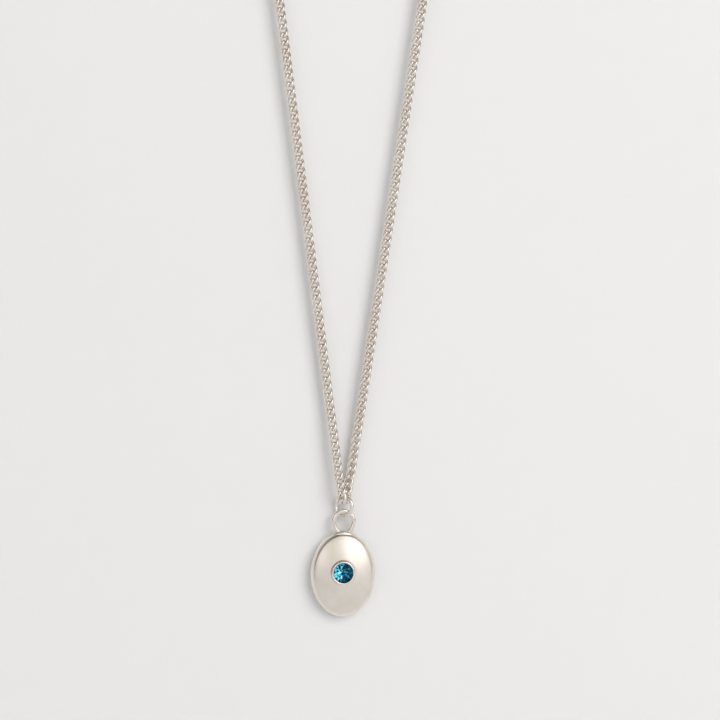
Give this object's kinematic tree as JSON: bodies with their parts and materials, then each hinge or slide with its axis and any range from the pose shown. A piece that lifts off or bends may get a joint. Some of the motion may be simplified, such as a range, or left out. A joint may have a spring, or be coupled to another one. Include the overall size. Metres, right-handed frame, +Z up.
{
  "type": "pendant necklace",
  "caption": "Curb chain necklace with an open jump ring, a smooth oval pebble pendant set with a round faceted stone, and a lobster clasp at the back.",
  "frame": {"origin": "centre of the pendant's flat back", "axes": "+Z up the hanging necklace, -Y out of the pendant's domed front, X across it"},
  "size_m": [0.0532, 0.0042, 0.223],
  "materials": {
    "chain_silver": "polished silver wire",
    "clasp_silver": "polished silver",
    "ring_silver": "polished silver wire",
    "pendant_silver": "satin silver casting",
    "bezel_silver": "polished silver tube",
    "stone": "deep teal blue faceted stone"
  },
  "bodies": {
    "clasp": {"clasp_body": "clasp_silver", "clasp_pin": "clasp_silver", "clasp_spring": "clasp_silver", "clasp_jump_ring": "clasp_silver", "clasp_end_ring": "clasp_silver"},
    "clasp_lever": {"clasp_lever": "clasp_silver"},
    "left_run_01": {"chain_left_01": "chain_silver", "chain_centre_link": "chain_silver"},
    "left_run_02": {"chain_left_02": "chain_silver"},
    "left_run_03": {"chain_left_03": "chain_silver"},
    "left_run_04": {"chain_left_04": "chain_silver"},
    "left_run_05": {"chain_left_05": "chain_silver"},
    "left_run_06": {"chain_left_06": "chain_silver"},
    "left_run_07": {"chain_left_07": "chain_silver"},
    "left_run_08": {"chain_left_08": "chain_silver"},
    "left_run_09": {"chain_left_09": "chain_silver"},
    "left_run_10": {"chain_left_10": "chain_silver"},
    "left_run_11": {"chain_left_11": "chain_silver"},
    "left_run_12": {"chain_left_12": "chain_silver"},
    "left_run_13": {"chain_left_13": "chain_silver"},
    "left_run_14": {"chain_left_14": "chain_silver"},
    "left_run_15": {"chain_left_15": "chain_silver"},
    "left_run_16": {"chain_left_16": "chain_silver"},
    "left_run_17": {"chain_left_17": "chain_silver"},
    "left_run_18": {"chain_left_18": "chain_silver"},
    "left_run_19": {"chain_left_19": "chain_silver"},
    "left_run_20": {"chain_left_20": "chain_silver"},
    "left_run_21": {"chain_left_21": "chain_silver"},
    "left_run_22": {"chain_left_22": "chain_silver"},
    "right_run_01": {"chain_right_01": "chain_silver"},
    "right_run_02": {"chain_right_02": "chain_silver"},
    "right_run_03": {"chain_right_03": "chain_silver"},
    "right_run_04": {"chain_right_04": "chain_silver"},
    "right_run_05": {"chain_right_05": "chain_silver"},
    "right_run_06": {"chain_right_06": "chain_silver"},
    "right_run_07": {"chain_right_07": "chain_silver"},
    "right_run_08": {"chain_right_08": "chain_silver"},
    "right_run_09": {"chain_right_09": "chain_silver"},
    "right_run_10": {"chain_right_10": "chain_silver"},
    "right_run_11": {"chain_right_11": "chain_silver"},
    "right_run_12": {"chain_right_12": "chain_silver"},
    "right_run_13": {"chain_right_13": "chain_silver"},
    "right_run_14": {"chain_right_14": "chain_silver"},
    "right_run_15": {"chain_right_15": "chain_silver"},
    "right_run_16": {"chain_right_16": "chain_silver"},
    "right_run_17": {"chain_right_17": "chain_silver"},
    "right_run_18": {"chain_right_18": "chain_silver"},
    "right_run_19": {"chain_right_19": "chain_silver"},
    "right_run_20": {"chain_right_20": "chain_silver"},
    "right_run_21": {"chain_right_21": "chain_silver"},
    "right_run_22": {"chain_right_22": "chain_silver"},
    "jump_ring": {"jump_ring": "ring_silver"},
    "pendant": {"pendant_body": "pendant_silver", "bezel_tube": "bezel_silver", "stone": "stone", "pendant_loop": "ring_silver"}
  },
  "joints": [
    {"name": "run_22_fold", "type": "hinge", "parent": "clasp", "child": "left_run_22", "pos_m": [0, -0.0013, 0.21348], "axis": [-1, 0, 0], "range_deg": [-8, 8]},
    {"name": "run_22_fold_right", "type": "hinge", "parent": "clasp", "child": "right_run_22", "pos_m": [0, -0.0013, 0.21348], "axis": [-1, 0, 0], "range_deg": [-8, 8]},
    {"name": "run_21_fold", "type": "hinge", "parent": "left_run_22", "child": "left_run_21", "pos_m": [0, -0.0013, 0.21136], "axis": [1, 0, 0], "range_deg": [-7, 7]},
    {"name": "run_21_fold_right", "type": "hinge", "parent": "right_run_22", "child": "right_run_21", "pos_m": [0, -0.0013, 0.21136], "axis": [1, 0, 0], "range_deg": [-7, 7]},
    {"name": "run_20_fold", "type": "hinge", "parent": "left_run_21", "child": "left_run_20", "pos_m": [0, -0.0013, 0.20502], "axis": [1, 0, 0], "range_deg": [-10, 10]},
    {"name": "run_20_fold_right", "type": "hinge", "parent": "right_run_21", "child": "right_run_20", "pos_m": [0, -0.0013, 0.20502], "axis": [1, 0, 0], "range_deg": [-10, 10]},
    {"name": "run_19_fold", "type": "hinge", "parent": "left_run_20", "child": "left_run_19", "pos_m": [0, -0.0013, 0.19604], "axis": [-1, 0, 0], "range_deg": [-18, 18]},
    {"name": "run_19_fold_right", "type": "hinge", "parent": "right_run_20", "child": "right_run_19", "pos_m": [0, -0.0013, 0.19604], "axis": [-1, 0, 0], "range_deg": [-18, 18]},
    {"name": "run_18_fold", "type": "hinge", "parent": "left_run_19", "child": "left_run_18", "pos_m": [0, -0.0013, 0.18651], "axis": [1, 0, 0], "range_deg": [-18, 18]},
    {"name": "run_18_fold_right", "type": "hinge", "parent": "right_run_19", "child": "right_run_18", "pos_m": [0, -0.0013, 0.18651], "axis": [1, 0, 0], "range_deg": [-18, 18]},
    {"name": "run_17_fold", "type": "hinge", "parent": "left_run_18", "child": "left_run_17", "pos_m": [0, -0.0013, 0.177], "axis": [-1, 0, 0], "range_deg": [-18, 18]},
    {"name": "run_17_fold_right", "type": "hinge", "parent": "right_run_18", "child": "right_run_17", "pos_m": [0, -0.0013, 0.177], "axis": [-1, 0, 0], "range_deg": [-18, 18]},
    {"name": "run_16_fold", "type": "hinge", "parent": "left_run_17", "child": "left_run_16", "pos_m": [0, -0.0013, 0.16749], "axis": [1, 0, 0], "range_deg": [-18, 18]},
    {"name": "run_16_fold_right", "type": "hinge", "parent": "right_run_17", "child": "right_run_16", "pos_m": [0, -0.0013, 0.16749], "axis": [1, 0, 0], "range_deg": [-18, 18]},
    {"name": "run_15_fold", "type": "hinge", "parent": "left_run_16", "child": "left_run_15", "pos_m": [0, -0.0013, 0.15798], "axis": [-1, 0, 0], "range_deg": [-18, 18]},
    {"name": "run_15_fold_right", "type": "hinge", "parent": "right_run_16", "child": "right_run_15", "pos_m": [0, -0.0013, 0.15798], "axis": [-1, 0, 0], "range_deg": [-18, 18]},
    {"name": "run_14_fold", "type": "hinge", "parent": "left_run_15", "child": "left_run_14", "pos_m": [0, -0.0013, 0.14847], "axis": [1, 0, 0], "range_deg": [-18, 18]},
    {"name": "run_14_fold_right", "type": "hinge", "parent": "right_run_15", "child": "right_run_14", "pos_m": [0, -0.0013, 0.14847], "axis": [1, 0, 0], "range_deg": [-18, 18]},
    {"name": "run_13_fold", "type": "hinge", "parent": "left_run_14", "child": "left_run_13", "pos_m": [0, -0.0013, 0.13896], "axis": [-1, 0, 0], "range_deg": [-18, 18]},
    {"name": "run_13_fold_right", "type": "hinge", "parent": "right_run_14", "child": "right_run_13", "pos_m": [0, -0.0013, 0.13896], "axis": [-1, 0, 0], "range_deg": [-18, 18]},
    {"name": "run_12_fold", "type": "hinge", "parent": "left_run_13", "child": "left_run_12", "pos_m": [0, -0.0013, 0.12945], "axis": [1, 0, 0], "range_deg": [-18, 18]},
    {"name": "run_12_fold_right", "type": "hinge", "parent": "right_run_13", "child": "right_run_12", "pos_m": [0, -0.0013, 0.12945], "axis": [1, 0, 0], "range_deg": [-18, 18]},
    {"name": "run_11_fold", "type": "hinge", "parent": "left_run_12", "child": "left_run_11", "pos_m": [0, -0.0013, 0.11994], "axis": [-1, 0, 0], "range_deg": [-18, 18]},
    {"name": "run_11_fold_right", "type": "hinge", "parent": "right_run_12", "child": "right_run_11", "pos_m": [0, -0.0013, 0.11994], "axis": [-1, 0, 0], "range_deg": [-18, 18]},
    {"name": "run_10_fold", "type": "hinge", "parent": "left_run_11", "child": "left_run_10", "pos_m": [0, -0.0013, 0.11044], "axis": [1, 0, 0], "range_deg": [-18, 18]},
    {"name": "run_10_fold_right", "type": "hinge", "parent": "right_run_11", "child": "right_run_10", "pos_m": [0, -0.0013, 0.11044], "axis": [1, 0, 0], "range_deg": [-18, 18]},
    {"name": "run_09_fold", "type": "hinge", "parent": "left_run_10", "child": "left_run_09", "pos_m": [0, -0.0013, 0.10093], "axis": [-1, 0, 0], "range_deg": [-18, 18]},
    {"name": "run_09_fold_right", "type": "hinge", "parent": "right_run_10", "child": "right_run_09", "pos_m": [0, -0.0013, 0.10093], "axis": [-1, 0, 0], "range_deg": [-18, 18]},
    {"name": "run_08_fold", "type": "hinge", "parent": "left_run_09", "child": "left_run_08", "pos_m": [0, -0.0013, 0.09142], "axis": [1, 0, 0], "range_deg": [-18, 18]},
    {"name": "run_08_fold_right", "type": "hinge", "parent": "right_run_09", "child": "right_run_08", "pos_m": [0, -0.0013, 0.09142], "axis": [1, 0, 0], "range_deg": [-18, 18]},
    {"name": "run_07_fold", "type": "hinge", "parent": "left_run_08", "child": "left_run_07", "pos_m": [0, -0.0013, 0.08191], "axis": [-1, 0, 0], "range_deg": [-18, 18]},
    {"name": "run_07_fold_right", "type": "hinge", "parent": "right_run_08", "child": "right_run_07", "pos_m": [0, -0.0013, 0.08191], "axis": [-1, 0, 0], "range_deg": [-18, 18]},
    {"name": "run_06_fold", "type": "hinge", "parent": "left_run_07", "child": "left_run_06", "pos_m": [0, -0.0013, 0.0724], "axis": [1, 0, 0], "range_deg": [-18, 18]},
    {"name": "run_06_fold_right", "type": "hinge", "parent": "right_run_07", "child": "right_run_06", "pos_m": [0, -0.0013, 0.0724], "axis": [1, 0, 0], "range_deg": [-18, 18]},
    {"name": "run_05_fold", "type": "hinge", "parent": "left_run_06", "child": "left_run_05", "pos_m": [0, -0.0013, 0.06289], "axis": [-1, 0, 0], "range_deg": [-18, 18]},
    {"name": "run_05_fold_right", "type": "hinge", "parent": "right_run_06", "child": "right_run_05", "pos_m": [0, -0.0013, 0.06289], "axis": [-1, 0, 0], "range_deg": [-18, 18]},
    {"name": "run_04_fold", "type": "hinge", "parent": "left_run_05", "child": "left_run_04", "pos_m": [0, -0.0013, 0.05338], "axis": [1, 0, 0], "range_deg": [-18, 18]},
    {"name": "run_04_fold_right", "type": "hinge", "parent": "right_run_05", "child": "right_run_04", "pos_m": [0, -0.0013, 0.05338], "axis": [1, 0, 0], "range_deg": [-18, 18]},
    {"name": "run_03_fold", "type": "hinge", "parent": "left_run_04", "child": "left_run_03", "pos_m": [0, -0.0013, 0.04387], "axis": [-1, 0, 0], "range_deg": [-18, 18]},
    {"name": "run_03_fold_right", "type": "hinge", "parent": "right_run_04", "child": "right_run_03", "pos_m": [0, -0.0013, 0.04387], "axis": [-1, 0, 0], "range_deg": [-18, 18]},
    {"name": "run_02_fold", "type": "hinge", "parent": "left_run_03", "child": "left_run_02", "pos_m": [0, -0.0013, 0.03436], "axis": [1, 0, 0], "range_deg": [-18, 18]},
    {"name": "run_02_fold_right", "type": "hinge", "parent": "right_run_03", "child": "right_run_02", "pos_m": [0, -0.0013, 0.03436], "axis": [1, 0, 0], "range_deg": [-18, 18]},
    {"name": "run_01_fold", "type": "hinge", "parent": "left_run_02", "child": "left_run_01", "pos_m": [0, -0.0013, 0.02486], "axis": [-1, 0, 0], "range_deg": [-12, 12]},
    {"name": "run_01_fold_right", "type": "hinge", "parent": "right_run_02", "child": "right_run_01", "pos_m": [0, -0.0013, 0.02486], "axis": [-1, 0, 0], "range_deg": [-12, 12]},
    {"name": "jump_ring_swing", "type": "hinge", "parent": "left_run_01", "child": "jump_ring", "pos_m": [0, -0.0013, 0.01136], "axis": [0.7071, -0.7071, 0], "range_deg": [-35, 35]},
    {"name": "pendant_swing", "type": "hinge", "parent": "jump_ring", "child": "pendant", "pos_m": [0, -0.0013, 0.009], "axis": [1, 0, 0], "range_deg": [-34, 34]},
    {"name": "clasp_lever_open", "type": "hinge", "parent": "clasp", "child": "clasp_lever", "pos_m": [-0.00116, -0.0013, 0.21483], "axis": [0, 1, 0], "range_deg": [0, 22]}
  ],
  "couplings": [
    {"joint": "run_22_fold_right", "follows": "run_22_fold", "ratio": 1},
    {"joint": "run_21_fold_right", "follows": "run_21_fold", "ratio": 1},
    {"joint": "run_20_fold_right", "follows": "run_20_fold", "ratio": 1},
    {"joint": "run_19_fold_right", "follows": "run_19_fold", "ratio": 1},
    {"joint": "run_18_fold_right", "follows": "run_18_fold", "ratio": 1},
    {"joint": "run_17_fold_right", "follows": "run_17_fold", "ratio": 1},
    {"joint": "run_16_fold_right", "follows": "run_16_fold", "ratio": 1},
    {"joint": "run_15_fold_right", "follows": "run_15_fold", "ratio": 1},
    {"joint": "run_14_fold_right", "follows": "run_14_fold", "ratio": 1},
    {"joint": "run_13_fold_right", "follows": "run_13_fold", "ratio": 1},
    {"joint": "run_12_fold_right", "follows": "run_12_fold", "ratio": 1},
    {"joint": "run_11_fold_right", "follows": "run_11_fold", "ratio": 1},
    {"joint": "run_10_fold_right", "follows": "run_10_fold", "ratio": 1},
    {"joint": "run_09_fold_right", "follows": "run_09_fold", "ratio": 1},
    {"joint": "run_08_fold_right", "follows": "run_08_fold", "ratio": 1},
    {"joint": "run_07_fold_right", "follows": "run_07_fold", "ratio": 1},
    {"joint": "run_06_fold_right", "follows": "run_06_fold", "ratio": 1},
    {"joint": "run_05_fold_right", "follows": "run_05_fold", "ratio": 1},
    {"joint": "run_04_fold_right", "follows": "run_04_fold", "ratio": 1},
    {"joint": "run_03_fold_right", "follows": "run_03_fold", "ratio": 1},
    {"joint": "run_02_fold_right", "follows": "run_02_fold", "ratio": 1},
    {"joint": "run_01_fold_right", "follows": "run_01_fold", "ratio": 1}
  ]
}
